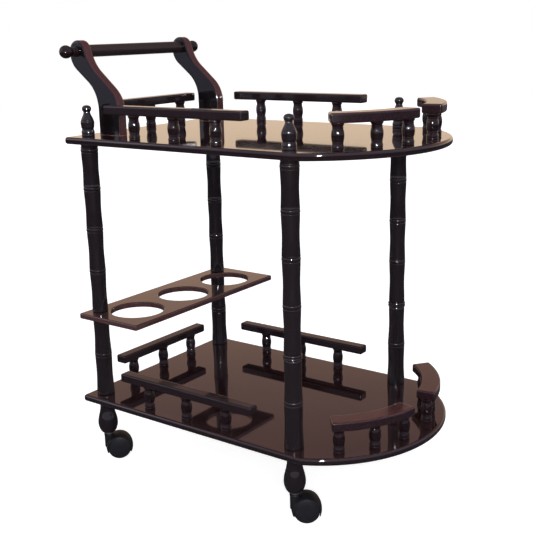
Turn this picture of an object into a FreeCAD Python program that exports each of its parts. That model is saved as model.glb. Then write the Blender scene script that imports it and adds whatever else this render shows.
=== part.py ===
import FreeCAD, Part
import math
import os

# A two-tier bar cart: two boards with one rounded end, turned legs, a push handle,
# a bottle rack and four swivelling twin-wheel casters. Millimetres, Z up.
# While it is built, X runs along the cart from the leg axes at the handle end,
# Y across it with the front side negative, and Z up from the floor.
# Each piece is then moved along X so that the middle of the whole length is at zero.

vector = FreeCAD.Vector

# Boards
shelf_width = 401.0
board_thickness = 12.0
board_edge_round = 4.5
handle_end_overhang = 28.5      # board beyond the leg axes at the handle end
board_corner_round = 6.0
round_end_extra = 20.5          # how much larger the end's radius is than half the width
round_end_setback = 61.0        # centre of the round end, behind the leg axes there
shoulder_round = 18.0           # where the straight sides meet the round end
leg_span_along = 426.0
leg_edge_inset = 31.5           # leg axes in from the sides of the board

# Bottle rack
rack_thickness = 10.0
rack_overhang = 22.5
rack_back_margin = 26.5         # wood left behind the holes
rack_front_margin = 18.0
rack_end_margin = 25.0
rack_edge_round = 2.5
rack_corner_round = 3.5
bottle_hole_count = 3
bottle_hole_web = 30.0          # wood left between two holes
bottle_hole_round = 2.0

# Stack of turned pieces under and between the boards, from the floor up
caster_height = 50.5
foot_length = 66.5
lower_leg_length = 149.2
upper_leg_length = 306.2

# Turned legs
leg_top_radius = 15.0
leg_joint_radius = 14.2
leg_base_radius = 16.2
leg_waist = 1.0                 # how much a leg thins between its rings
ring_spacing = 6.4              # between the two grooves of a ring pair
ring_groove_width = 2.0
ring_groove_depth = 0.7
upper_ring_shares = (0.251, 0.497, 0.739)
lower_ring_share = 0.52
top_ring_drop = 12.0
spacer_radius = 15.6
spacer_edge_round = 2.5

# Finials
finial_height = 53.2
finial_radius = 11.6

# Feet
foot_bulb_radius = 18.2

# Threaded studs that clamp the leg stack
stud_radius = 4.0
stud_depth = 24.0
finial_stud_depth = 20.0
stud_gap = 0.1

# Galleries
rail_height = 15.2
rail_width = 22.0
rail_lift = 40.3                # clear height under the rails
rail_edge_round = 3.0
side_rail_back_gap = 60.0       # from the leg axes at the handle end to the rail
side_rail_front_gap = 74.0      # from the rail to the other leg axes
side_rail_edge_gap = 12.5       # from the rail to the edge of the board
end_rail_leg_gap = 51.0         # from the leg axes to the rail
end_rail_edge_gap = 9.0
curved_rail_width = 33.0
curved_rail_edge_gap = 10.5
curved_rail_start_angle = 9.5   # degrees from the long axis of the cart
curved_rail_end_angle = 51.7
spindle_radius = 9.8
side_spindle_margin = 59.0      # last spindle in from the end of its rail
end_spindle_margin = 34.0
curved_spindle_middle_angle = 30.0
curved_spindle_step_angle = 18.0
tenon_radius = 4.0
tenon_length = 7.0
tenon_gap = 0.1

# Push handle
bracket_thickness = 20.0
bracket_leg_gap = 24.0          # outer faces in from the leg axes
bracket_base_start = 2.0        # from the leg axes at the handle end
bracket_base_width = 51.0
bracket_rise = 143.0            # from the board to the middle of the round head
bracket_head_radius = 19.0
bracket_lean = 43.5             # head middle behind the back edge of the base
bracket_back_angle = 38.0       # degrees above the level, where the bracket leans back
bracket_front_angle = 50.0      # degrees off the upright, where the front leans back
bracket_head_angle = 20.0       # degrees off the upright, in front of the head
back_knee_share = 0.514         # of the rise, where the back edge starts to lean
front_knee_share = 0.45
bend_shares = (3.0, 2.0, 1.0, 1.0, 3.5, 2.9)    # corner roundings, of the head radius
bracket_edge_round = 4.5
bar_radius = 10.8
bar_offset = 1.5                # bar axis behind the middle of the head
bar_tenon_radius = 6.0
knob_radius = 11.3
knob_neck_radius = 7.0
knob_neck_length = 12.0
knob_collar_radius = 9.0
knob_collar_thickness = 4.0
knob_socket_depth = 18.0
screw_shank_radius = 2.0
screw_head_radius = 4.0
screw_head_height = 2.6
screw_grip = 26.0
screw_spacing = 24.0
screw_gap = 0.1

# Casters
wheel_radius = 21.5
wheel_width = 13.0
wheel_edge_round = 3.5
wheel_face_dome = 1.0
dome_reach_share = 0.70         # of the wheel radius
wheel_side_gap = 0.5
web_thickness = 8.0
caster_trail = 18.5
axle_radius = 2.5
axle_end_cover = 2.5            # wheel face left over the end of the axle
axle_running_gap = 0.05
hood_gap = 1.2                  # between wheel tread and hood
hood_wall = 2.5
hood_crown = 2.3                # how much lower the hood is at its sides than in the middle
hood_lip = 2.0                  # how much the hood closes in over the rounded wheel edges
hood_drop_angle = 19.0          # degrees that the hood runs on below the axle
hood_side_cover = 0.6
boss_radius = 8.5
swivel_axial_gap = 0.3
stem_radius = 4.0
stem_running_gap = 0.06
stem_grip = 26.0
stem_journal = 12.0
stem_collar_radius = 7.0
stem_collar_height = 1.6
socket_wall = 1.5
socket_depth = 30.0
socket_flange_radius = 8.4
socket_flange_height = 1.4
socket_gap = 0.1
caster_angles = {"front_left": 45.0, "front_right": 37.0, "rear_left": -25.0, "rear_right": -50.0}

cut_overrun = 5.0

# Heights above the floor
bottom_shelf_base = caster_height + foot_length
bottom_shelf_top = bottom_shelf_base + board_thickness
rack_base = bottom_shelf_top + lower_leg_length
rack_top = rack_base + rack_thickness
top_shelf_base = rack_top + upper_leg_length
top_shelf_top = top_shelf_base + board_thickness

# Places across and along the cart
leg_span_across = shelf_width - 2 * leg_edge_inset
round_end_radius = shelf_width / 2 + round_end_extra
round_end_center = leg_span_along - round_end_setback
holes_room = shelf_width - 2 * rack_end_margin - (bottle_hole_count - 1) * bottle_hole_web
bottle_hole_radius = holes_room / bottle_hole_count / 2
bottle_hole_pitch = 2 * bottle_hole_radius + bottle_hole_web
rack_depth = rack_back_margin + 2 * bottle_hole_radius + rack_front_margin
bottle_row_place = rack_back_margin + bottle_hole_radius - rack_overhang
side_rail_length = leg_span_along - side_rail_back_gap - side_rail_front_gap
side_rail_middle = side_rail_back_gap + side_rail_length / 2
side_spindle_pitch = side_rail_length / 2 - side_spindle_margin
end_rail_length = leg_span_across - 2 * end_rail_leg_gap
end_spindle_pitch = end_rail_length / 2 - end_spindle_margin
bracket_outer_place = leg_span_across / 2 - bracket_leg_gap

# Ends of the whole cart along X, and the middle that becomes the origin
head_middle_x = bracket_base_start - bracket_lean
cart_back_x = head_middle_x - bracket_head_radius
cart_front_x = round_end_center + round_end_radius
origin_x = (cart_back_x + cart_front_x) / 2

leg_places = {
    "front_left": (0.0, -leg_span_across / 2),
    "front_right": (leg_span_along, -leg_span_across / 2),
    "rear_left": (0.0, leg_span_across / 2),
    "rear_right": (leg_span_along, leg_span_across / 2),
}


def export(name, solids):
    """Write one node, moved so that the origin is under the middle of the cart."""
    shape = solids[0] if len(solids) == 1 else Part.makeCompound(solids)
    shape = shape.copy()
    shape.translate(vector(-origin_x, 0, 0))
    shape.exportStep("parts/" + name + ".step")


def moved(shape, x, y, z):
    shape = shape.copy()
    shape.translate(vector(x, y, z))
    return shape


def turned_about_z(shape, degrees):
    shape = shape.copy()
    shape.rotate(vector(0, 0, 0), vector(0, 0, 1), degrees)
    return shape


def laid_along_y(shape):
    """Turn a piece made along Z so that its Z runs along Y."""
    shape = shape.copy()
    shape.rotate(vector(0, 0, 0), vector(1, 0, 0), -90)
    return shape


def post(radius, length, x=0.0, y=0.0, z=0.0):
    return Part.makeCylinder(radius, length, vector(x, y, z))


def profile_edge(start, end, bow):
    """Edge of a turned profile between two (radius, height) points, bowed outwards."""
    a = vector(start[0], 0, start[1])
    b = vector(end[0], 0, end[1])
    if bow == 0:
        return Part.LineSegment(a, b).toShape()
    run = b - a
    outward = vector(run.z, 0, -run.x).normalize()
    middle = (a + b) * 0.5 + outward * bow
    return Part.Arc(a, middle, b).toShape()


def turned(rows):
    """Solid turned about Z from rows of (radius, height, bow of the edge up to it)."""
    edges = []
    low = rows[0][1]
    high = rows[-1][1]
    points = [(0.0, low, 0)] + list(rows)
    if rows[-1][0] > 0:
        points = points + [(0.0, high, 0)]
    for start, end in zip(points, points[1:]):
        edges.append(profile_edge(start, end, end[2]))
    edges.append(Part.LineSegment(vector(0, 0, high), vector(0, 0, low)).toShape())
    face = Part.Face(Part.Wire(edges))
    return face.revolve(vector(0, 0, 0), vector(0, 0, 1), 360)


def turned_from_shares(shares, radius, height):
    """Turned solid from rows of shares of its radius and height; bows are shares of radius."""
    return turned([(radius * r, height * h, radius * bow) for r, h, bow in shares])


def edges_at_height(shape, height):
    close = board_edge_round / 100
    found = []
    for edge in shape.Edges:
        box = edge.BoundBox
        if abs(box.ZMin - height) < close and abs(box.ZMax - height) < close:
            found.append(edge)
    return found


def upright_edges_at(shape, x, half_width):
    close = board_edge_round / 100
    found = []
    for edge in shape.Edges:
        box = edge.BoundBox
        if box.ZLength > close and box.XLength < close and box.YLength < close:
            if abs(box.XMin - x) < close and abs(abs(box.YMin) - half_width) < close:
                found.append(edge)
    return found


# Boards

def shelf_blank():
    """Board with square handle end, straight sides and one round end."""
    half = shelf_width / 2
    back = -handle_end_overhang
    shoulder = round_end_center + math.sqrt(round_end_radius ** 2 - half ** 2)
    corners = [
        vector(shoulder, half, 0),
        vector(back, half, 0),
        vector(back, -half, 0),
        vector(shoulder, -half, 0),
    ]
    edges = [Part.LineSegment(a, b).toShape() for a, b in zip(corners, corners[1:])]
    tip = vector(round_end_center + round_end_radius, 0, 0)
    edges.append(Part.Arc(corners[3], tip, corners[0]).toShape())
    board = Part.Face(Part.Wire(edges)).extrude(vector(0, 0, board_thickness))
    board = board.makeFillet(shoulder_round, upright_edges_at(board, shoulder, half))
    board = board.makeFillet(board_corner_round, upright_edges_at(board, back, half))
    rims = edges_at_height(board, 0) + edges_at_height(board, board_thickness)
    return board.makeFillet(board_edge_round, rims)


def gallery_posts():
    """Places of the spindles of one gallery: x, y and the rail that each belongs to."""
    side_y = shelf_width / 2 - side_rail_edge_gap - rail_width / 2
    end_x = end_rail_edge_gap + rail_width / 2 - handle_end_overhang
    radius = round_end_radius - curved_rail_edge_gap - curved_rail_width / 2
    places = []
    for step in (-1, 0, 1):
        places.append((end_x, step * end_spindle_pitch, "end"))
        for side, name in ((-1, "front"), (1, "rear")):
            places.append((side_rail_middle + step * side_spindle_pitch, side * side_y, name))
            angle = math.radians(curved_spindle_middle_angle + step * curved_spindle_step_angle)
            x = round_end_center + radius * math.cos(angle)
            y = side * radius * math.sin(angle)
            places.append((x, y, name + "_curved"))
    return places


def shelf(base, has_handle):
    board = moved(shelf_blank(), 0, 0, base)
    cuts = []
    stud_hole_length = board_thickness + 2 * cut_overrun
    for x, y in leg_places.values():
        cuts.append(post(stud_radius + stud_gap, stud_hole_length, x, y, base - cut_overrun))
    top = base + board_thickness
    depth = tenon_length + tenon_gap
    for x, y, rail in gallery_posts():
        cuts.append(post(tenon_radius + tenon_gap, depth + cut_overrun, x, y, top - depth))
    if has_handle:
        for x, y in handle_screw_places():
            cuts.append(moved(screw_hole(), x, y, base))
    return board.cut(cuts)


def bottle_rack():
    """Narrow board with a row of three round holes, clamped between the handle-end legs."""
    start = vector(-rack_overhang, -shelf_width / 2, 0)
    blank = Part.makeBox(rack_depth, shelf_width, rack_thickness, start)
    corners = upright_edges_at(blank, -rack_overhang, shelf_width / 2)
    corners = corners + upright_edges_at(blank, rack_depth - rack_overhang, shelf_width / 2)
    board = blank.makeFillet(rack_corner_round, corners)
    rims = edges_at_height(board, 0) + edges_at_height(board, rack_thickness)
    board = board.makeFillet(rack_edge_round, rims)
    for number in range(bottle_hole_count):
        y = (number - (bottle_hole_count - 1) / 2) * bottle_hole_pitch
        board = board.cut(bottle_hole(y))
    studs = []
    for side in (-1, 1):
        y = side * leg_span_across / 2
        studs.append(post(stud_radius + stud_gap, rack_thickness + 2 * cut_overrun, 0, y, -cut_overrun))
    return moved(board.cut(studs), 0, 0, rack_base)


def bottle_hole(y):
    """Through hole whose rims are eased at both faces of the rack."""
    rows = [
        (bottle_hole_radius + bottle_hole_round + cut_overrun, -cut_overrun, 0),
        (bottle_hole_radius + bottle_hole_round, 0, 0),
        (bottle_hole_radius, bottle_hole_round, -bottle_hole_round * (1 - math.sqrt(0.5))),
        (bottle_hole_radius, rack_thickness - bottle_hole_round, 0),
        (bottle_hole_radius + bottle_hole_round, rack_thickness, -bottle_hole_round * (1 - math.sqrt(0.5))),
        (bottle_hole_radius + bottle_hole_round + cut_overrun, rack_thickness + cut_overrun, 0),
    ]
    return moved(turned(rows), bottle_row_place, y, 0)


# Legs, feet and finials

def ring_rows(radius, height):
    """Two fine grooves with a bead between them, around one height of a leg."""
    half = ring_groove_width / 2
    low = height - ring_spacing / 2
    high = height + ring_spacing / 2
    return [
        (radius, low - half, 0),
        (radius, low + half, -ring_groove_depth),
        (radius, high - half, ring_groove_depth / 2),
        (radius, high + half, -ring_groove_depth),
    ]


def leg_rows(length, base_radius, top_radius, ring_heights):
    """Profile of a leg that swells at each ring pair and thins between them."""
    rows = [
        (base_radius - ring_groove_depth, 0, 0),
        (base_radius, ring_groove_width, ring_groove_depth / 2),
    ]
    for height in ring_heights:
        radius = base_radius + (top_radius - base_radius) * height / length
        ring = ring_rows(radius, height)
        ring[0] = (ring[0][0], ring[0][1], -leg_waist)
        rows = rows + ring
    last_share = (length - ring_heights[-1]) / length
    rows.append((top_radius, length, -leg_waist * last_share))
    return rows


def stud_bore(depth, z):
    return post(stud_radius + stud_gap, depth + cut_overrun, 0, 0, z)


def upper_leg():
    rings = [upper_leg_length * share for share in upper_ring_shares]
    rings.append(upper_leg_length - top_ring_drop)
    leg = turned(leg_rows(upper_leg_length, leg_joint_radius, leg_top_radius, rings))
    depth = stud_depth + stud_gap
    bores = [stud_bore(depth, -cut_overrun), stud_bore(depth, upper_leg_length - depth)]
    return leg.cut(bores)


def lower_leg():
    rings = [lower_leg_length * lower_ring_share]
    leg = turned(leg_rows(lower_leg_length, leg_base_radius, leg_joint_radius, rings))
    depth = stud_depth + stud_gap
    bores = [stud_bore(depth, -cut_overrun), stud_bore(depth, lower_leg_length - depth)]
    return leg.cut(bores)


def leg_spacer():
    """Round collar that fills the rack's thickness in the legs that hold no rack."""
    disc = post(spacer_radius, rack_thickness)
    rims = edges_at_height(disc, 0) + edges_at_height(disc, rack_thickness)
    disc = disc.makeFillet(spacer_edge_round, rims)
    return disc.cut(post(stud_radius + stud_gap, rack_thickness + 2 * cut_overrun, 0, 0, -cut_overrun))


def finial():
    """Pear-shaped cap whose neck carries a flattened ball."""
    shares = (
        (0.97, 0.00, 0),
        (1.00, 0.03, 0.01),
        (0.97, 0.19, 0),
        (0.88, 0.24, -0.03),
        (0.92, 0.28, 0.02),
        (1.02, 0.45, 0.03),
        (0.96, 0.52, 0.02),
        (0.66, 0.66, 0.02),
        (0.50, 0.77, -0.03),
        (0.70, 0.88, 0.05),
        (0.20, 1.00, 0.16),
    )
    body = turned_from_shares(shares, finial_radius, finial_height)
    return body.cut(stud_bore(finial_stud_depth + stud_gap, -cut_overrun))


def foot():
    """Turned bulb foot: slim at the board, full above the caster."""
    shares = (
        (0.56, 0.00, 0),
        (0.76, 0.06, 0.03),
        (1.00, 0.29, 0.07),
        (0.90, 0.50, 0.03),
        (0.70, 0.72, -0.02),
        (0.68, 0.86, -0.01),
        (0.73, 0.95, -0.02),
        (0.73, 1.00, 0),
    )
    body = turned_from_shares(shares, foot_bulb_radius, foot_length)
    socket_radius = stem_radius + socket_wall + socket_gap
    socket_hole = post(socket_radius, socket_depth + cut_overrun, 0, 0, -cut_overrun)
    stud_hole = stud_bore(finial_stud_depth + stud_gap, foot_length - finial_stud_depth - stud_gap)
    return body.cut([socket_hole, stud_hole])


def leg_studs():
    """Steel studs: through the top board, through the rack level and through the bottom board."""
    spans = (
        (bottom_shelf_base - finial_stud_depth, bottom_shelf_top + stud_depth),
        (rack_base - stud_depth, rack_top + stud_depth),
        (top_shelf_base - stud_depth, top_shelf_top + finial_stud_depth),
    )
    studs = []
    for x, y in leg_places.values():
        for low, high in spans:
            studs.append(post(stud_radius, high - low, x, y, low))
    return studs


# Galleries

def spindle(base):
    """Small turned baluster with a round tenon at each end."""
    shares = (
        (0.91, 0.00, 0),
        (0.95, 0.14, 0.02),
        (0.84, 0.25, -0.04),
        (0.90, 0.34, 0),
        (0.93, 0.72, 0.09),
        (0.80, 0.84, -0.04),
        (0.96, 0.92, -0.01),
        (0.96, 1.00, 0.03),
    )
    body = turned_from_shares(shares, spindle_radius, rail_lift)
    tenons = post(tenon_radius, rail_lift + 2 * tenon_length, 0, 0, -tenon_length)
    return moved(body.fuse(tenons), 0, 0, base)


def spindle_group(base, curved):
    group = []
    for x, y, rail in gallery_posts():
        if rail.endswith("_curved") == curved:
            group.append(moved(spindle(base), x, y, 0))
    return group


def straight_rail(length_x, length_y):
    bar = Part.makeBox(length_x, length_y, rail_height, vector(-length_x / 2, -length_y / 2, 0))
    return bar.makeFillet(rail_edge_round, bar.Edges)


def curved_rail(side):
    """Bent rail that follows the round end of the board."""
    outer = round_end_radius - curved_rail_edge_gap
    inner = outer - curved_rail_width
    middle_angle = (curved_rail_start_angle + curved_rail_end_angle) / 2
    angles = [side * curved_rail_start_angle, side * middle_angle, side * curved_rail_end_angle]
    rays = [vector(math.cos(math.radians(a)), math.sin(math.radians(a)), 0) for a in angles]
    out_points = [ray * outer for ray in rays]
    in_points = [ray * inner for ray in rays]
    edges = [
        Part.Arc(*out_points).toShape(),
        Part.LineSegment(out_points[2], in_points[2]).toShape(),
        Part.Arc(*reversed(in_points)).toShape(),
        Part.LineSegment(in_points[0], out_points[0]).toShape(),
    ]
    bar = Part.Face(Part.Wire(edges)).extrude(vector(0, 0, rail_height))
    bar = bar.makeFillet(rail_edge_round, bar.Edges)
    return moved(bar, round_end_center, 0, 0)


def rail_blank(name):
    side = -1 if name.startswith("front") else 1
    if name == "end":
        x = end_rail_edge_gap + rail_width / 2 - handle_end_overhang
        return moved(straight_rail(rail_width, end_rail_length), x, 0, 0)
    if name.endswith("_curved"):
        return curved_rail(side)
    y = side * (shelf_width / 2 - side_rail_edge_gap - rail_width / 2)
    return moved(straight_rail(side_rail_length, rail_width), side_rail_middle, y, 0)


def rail(name, board_top):
    base = board_top + rail_lift
    bar = moved(rail_blank(name), 0, 0, base)
    depth = tenon_length + tenon_gap
    holes = []
    for x, y, owner in gallery_posts():
        if owner == name:
            holes.append(post(tenon_radius + tenon_gap, depth + cut_overrun, x, y, base - cut_overrun))
    return bar.cut(holes)


# Push handle

def rounded_path(points, radii):
    """Edges through the points, with each inner corner rounded by its own radius."""
    edges = []
    start = points[0]
    for before, corner, after, radius in zip(points, points[1:], points[2:], radii):
        back = (before - corner).normalize()
        ahead = (after - corner).normalize()
        half_turn = (math.pi - back.getAngle(ahead)) / 2
        reach = radius * math.tan(half_turn)
        first = corner + back * reach
        last = corner + ahead * reach
        inward = (back + ahead).normalize()
        middle = corner + inward * (radius / math.cos(half_turn) - radius)
        if first.distanceToPoint(start) > radius / 1000:
            edges.append(Part.LineSegment(start, first).toShape())
            start = first
        edges.append(Part.Arc(start, middle, last).toShape())
        start = last
    edges.append(Part.LineSegment(start, points[-1]).toShape())
    return edges


def bracket_outline():
    """Side view of a bracket: a straight foot that leans back into a round head."""
    back_slope = math.radians(bracket_back_angle)
    front_slope = math.radians(bracket_front_angle)
    head_slope = math.radians(bracket_head_angle)
    foot_x = bracket_base_start
    front_x = bracket_base_start + bracket_base_width
    head_x = head_middle_x
    back_x = head_middle_x - bracket_head_radius
    knee_z = bracket_rise * back_knee_share
    hip_z = knee_z + (foot_x - back_x) * math.tan(back_slope)
    crown_z = bracket_rise + bracket_head_radius
    front_knee_z = bracket_rise * front_knee_share
    leave_x = head_x + bracket_head_radius * math.cos(head_slope)
    leave_z = bracket_rise + bracket_head_radius * math.sin(head_slope)
    crown_x = leave_x - (crown_z - leave_z) * math.tan(head_slope)
    rise_to_meet = front_x + front_knee_z * math.tan(front_slope) - leave_x - leave_z * math.tan(head_slope)
    meet_z = rise_to_meet / (math.tan(front_slope) - math.tan(head_slope))
    meet_x = front_x - (meet_z - front_knee_z) * math.tan(front_slope)
    points = [
        vector(foot_x, 0, 0),
        vector(foot_x, 0, knee_z),
        vector(back_x, 0, hip_z),
        vector(back_x, 0, crown_z),
        vector(crown_x, 0, crown_z),
        vector(meet_x, 0, meet_z),
        vector(front_x, 0, front_knee_z),
        vector(front_x, 0, 0),
    ]
    radii = [bracket_head_radius * bend for bend in bend_shares]
    edges = rounded_path(points, radii)
    edges.append(Part.LineSegment(points[-1], points[0]).toShape())
    return Part.Wire(edges)


def handle_screw_places():
    middle_x = bracket_base_start + bracket_base_width / 2
    y = bracket_outer_place - bracket_thickness / 2
    return [(middle_x + end * screw_spacing / 2, side * y) for side in (-1, 1) for end in (-1, 1)]


def screw_rows(gap):
    return [
        (screw_head_radius + gap, 0, 0),
        (screw_shank_radius + gap, screw_head_height, 0),
        (screw_shank_radius + gap, board_thickness + screw_grip + gap, 0),
    ]


def screw_hole():
    head = post(screw_head_radius + screw_gap, cut_overrun, 0, 0, -cut_overrun)
    return turned(screw_rows(screw_gap)).fuse(head)


def handle_screws():
    return [moved(turned(screw_rows(0)), x, y, top_shelf_base) for x, y in handle_screw_places()]


def bar_height():
    return top_shelf_top + bracket_rise


def bar_x():
    return head_middle_x - bar_offset


def handle_bracket(side):
    face = Part.Face(bracket_outline())
    solid = face.extrude(vector(0, bracket_thickness, 0))
    close = bracket_edge_round / 100
    rims = [edge for edge in solid.Edges if edge.BoundBox.YLength < close and edge.BoundBox.ZMax > close]
    solid = solid.makeFillet(bracket_edge_round, rims)
    inner = bracket_outer_place - bracket_thickness
    start_y = inner if side > 0 else -bracket_outer_place
    solid = moved(solid, 0, start_y, top_shelf_top)
    bore = Part.makeCylinder(
        bar_tenon_radius + tenon_gap,
        bracket_thickness + 2 * cut_overrun,
        vector(bar_x(), start_y - cut_overrun, bar_height()),
        vector(0, 1, 0),
    )
    cuts = [bore]
    for x, y in handle_screw_places():
        if y * side > 0:
            cuts.append(moved(turned(screw_rows(screw_gap)), x, y, top_shelf_base))
    return solid.cut(cuts)


def handle_bar():
    """Round bar between the brackets, with a thinner tenon through each of them."""
    half = bracket_outer_place - bracket_thickness
    tenon_end = bracket_outer_place + knob_socket_depth - tenon_gap
    rows = [
        (bar_tenon_radius, -tenon_end, 0),
        (bar_tenon_radius, -half, 0),
        (bar_radius, -half, 0),
        (bar_radius, half, 0),
        (bar_tenon_radius, half, 0),
        (bar_tenon_radius, tenon_end, 0),
    ]
    return moved(laid_along_y(turned(rows)), bar_x(), 0, bar_height())


def handle_knob(side):
    """Ball on a short neck that caps the end of the bar."""
    ball_middle = knob_neck_length + knob_radius * 0.94
    rows = [
        (knob_collar_radius, 0, 0),
        (knob_collar_radius, knob_collar_thickness, knob_collar_thickness / 4),
        (knob_neck_radius, knob_collar_thickness, 0),
        (knob_neck_radius, knob_neck_length + knob_radius / 2, 0),
    ]
    knob = turned(rows).fuse(Part.makeSphere(knob_radius, vector(0, 0, ball_middle)))
    knob = knob.cut(post(bar_tenon_radius + tenon_gap, knob_socket_depth + cut_overrun, 0, 0, -cut_overrun))
    knob = laid_along_y(knob)
    if side < 0:
        knob = turned_about_z(knob, 180)
    return moved(knob, bar_x(), side * bracket_outer_place, bar_height())


# Casters, built round their swivel axis with the wheels trailing along X

def hood_top():
    return caster_height - socket_flange_height - stem_collar_height - swivel_axial_gap


def wheel_outer_side():
    return web_thickness / 2 + wheel_side_gap + wheel_width


def hood_shell():
    """Crowned cover over both wheels, open below two lines that run down from the axle."""
    half_width = wheel_outer_side() + hood_side_cover
    middle_radius = wheel_radius + hood_gap + hood_wall
    rim_radius = middle_radius - hood_crown
    barrel = laid_along_y(turned([(rim_radius, -half_width, 0), (rim_radius, half_width, hood_crown)]))
    drop = math.radians(hood_drop_angle)
    reach = 2 * middle_radius
    back = vector(-reach * math.cos(drop), 0, -reach * math.sin(drop))
    front = vector(reach * math.cos(drop), 0, -reach * math.sin(drop))
    down = vector(0, 0, -reach)
    corners = [vector(0, 0, 0), back, back + down, front + down, front, vector(0, 0, 0)]
    below = Part.Face(Part.makePolygon(corners)).extrude(vector(0, 2 * reach, 0))
    shell = barrel.cut(moved(below, 0, -reach, 0))
    return moved(shell, caster_trail, 0, wheel_radius)


def hood_web():
    """Middle plate that carries the axle and joins the swivel boss to the shell."""
    inner = wheel_radius + hood_gap
    drop = math.radians(hood_drop_angle)
    low = -inner * math.sin(drop)
    reach = inner * math.cos(drop)
    back = vector(-reach, 0, low)
    front = vector(reach, 0, low)
    overlap = hood_wall / 2
    radius = inner + overlap
    top = vector(0, 0, radius)
    stretch = radius / inner
    edges = [
        Part.Arc(back * stretch, top, front * stretch).toShape(),
        Part.LineSegment(front * stretch, back * stretch).toShape(),
    ]
    plate = Part.Face(Part.Wire(edges)).extrude(vector(0, web_thickness, 0))
    return moved(plate, caster_trail, -web_thickness / 2, wheel_radius)


def wheel_space():
    """Room for the two wheels on either side of the web, closing in over their rounded edges."""
    room = wheel_radius + hood_gap
    straight = wheel_side_gap + wheel_width - wheel_edge_round - wheel_face_dome
    mouth = wheel_side_gap + wheel_width + hood_side_cover
    rows = [
        (room, 0, 0),
        (room, straight, 0),
        (room - hood_lip, mouth, 0),
        (room - hood_lip, mouth + cut_overrun, 0),
    ]
    right = moved(laid_along_y(turned(rows)), 0, web_thickness / 2, 0)
    left = turned_about_z(right, 180)
    return [moved(disc, caster_trail, 0, wheel_radius) for disc in (right, left)]


def caster_hood():
    boss_base = wheel_radius
    boss = post(boss_radius, hood_top() - boss_base, 0, 0, boss_base)
    hood = hood_shell().fuse([hood_web(), boss])
    axle_hole = laid_along_y(post(axle_radius + tenon_gap / 2, web_thickness + 2 * cut_overrun))
    axle_hole = moved(axle_hole, caster_trail, -web_thickness / 2 - cut_overrun, wheel_radius)
    journal_base = hood_top() - stem_journal
    journal_hole = post(stem_radius + stem_running_gap, stem_journal + cut_overrun, 0, 0, journal_base)
    hood = hood.cut(wheel_space() + [axle_hole, journal_hole])
    return hood.removeSplitter()


def caster_axle():
    length = 2 * (wheel_outer_side() - axle_end_cover - wheel_side_gap)
    pin = laid_along_y(post(axle_radius, length))
    return moved(pin, caster_trail, -length / 2, wheel_radius)


def caster_wheel(side):
    """Disc wheel with a rounded tread and a slightly domed outer face."""
    dome_reach = wheel_radius * dome_reach_share
    dome_rise = wheel_face_dome / 2
    dome_radius = (dome_reach ** 2 + dome_rise ** 2) / (2 * dome_rise)
    dome_bow = dome_radius - math.sqrt(dome_radius ** 2 - (dome_reach ** 2 + dome_rise ** 2) / 4)
    edge_bow = wheel_edge_round * (1 - math.sqrt(0.5))
    rows = [
        (wheel_radius - wheel_edge_round, 0, 0),
        (wheel_radius, wheel_edge_round, edge_bow),
        (wheel_radius, wheel_width - wheel_edge_round - wheel_face_dome, 0),
        (wheel_radius - wheel_edge_round, wheel_width - wheel_face_dome, edge_bow),
        (dome_reach + dome_rise, wheel_width - wheel_face_dome, 0),
        (dome_reach, wheel_width - dome_rise, 0),
        (0, wheel_width, dome_bow),
    ]
    disc = turned(rows)
    bore_depth = wheel_width - axle_end_cover
    bore = post(axle_radius + axle_running_gap, bore_depth + cut_overrun, 0, 0, -cut_overrun)
    disc = laid_along_y(disc.cut(bore))
    if side < 0:
        disc = turned_about_z(disc, 180)
    start = side * (web_thickness / 2 + wheel_side_gap)
    return moved(disc, caster_trail, start, wheel_radius)


def at_caster(shape, place):
    x, y = leg_places[place]
    return moved(turned_about_z(shape, caster_angles[place]), x, y, 0)


def caster_stem():
    """Steel stem: grip in the socket, collar under it and journal in the hood."""
    collar_base = hood_top() + swivel_axial_gap
    grip_top = caster_height + stem_grip
    rows = [
        (stem_radius, hood_top() - stem_journal + swivel_axial_gap, 0),
        (stem_radius, collar_base, 0),
        (stem_collar_radius, collar_base, 0),
        (stem_collar_radius, collar_base + stem_collar_height, 0),
        (stem_radius, collar_base + stem_collar_height, 0),
        (stem_radius, grip_top - stem_radius / 2, 0),
        (stem_radius / 2, grip_top, stem_radius / 10),
    ]
    return turned(rows)


def caster_socket():
    """Sleeve pressed into the foot, with a thin flange under it."""
    flange_base = caster_height - socket_flange_height
    sleeve = post(stem_radius + socket_wall, socket_depth, 0, 0, caster_height)
    flange = post(socket_flange_radius, socket_flange_height, 0, 0, flange_base)
    bore_depth = socket_depth + socket_flange_height + cut_overrun
    bore = post(stem_radius + stem_running_gap, bore_depth, 0, 0, flange_base - cut_overrun / 2)
    return sleeve.fuse(flange).cut(bore)


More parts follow.
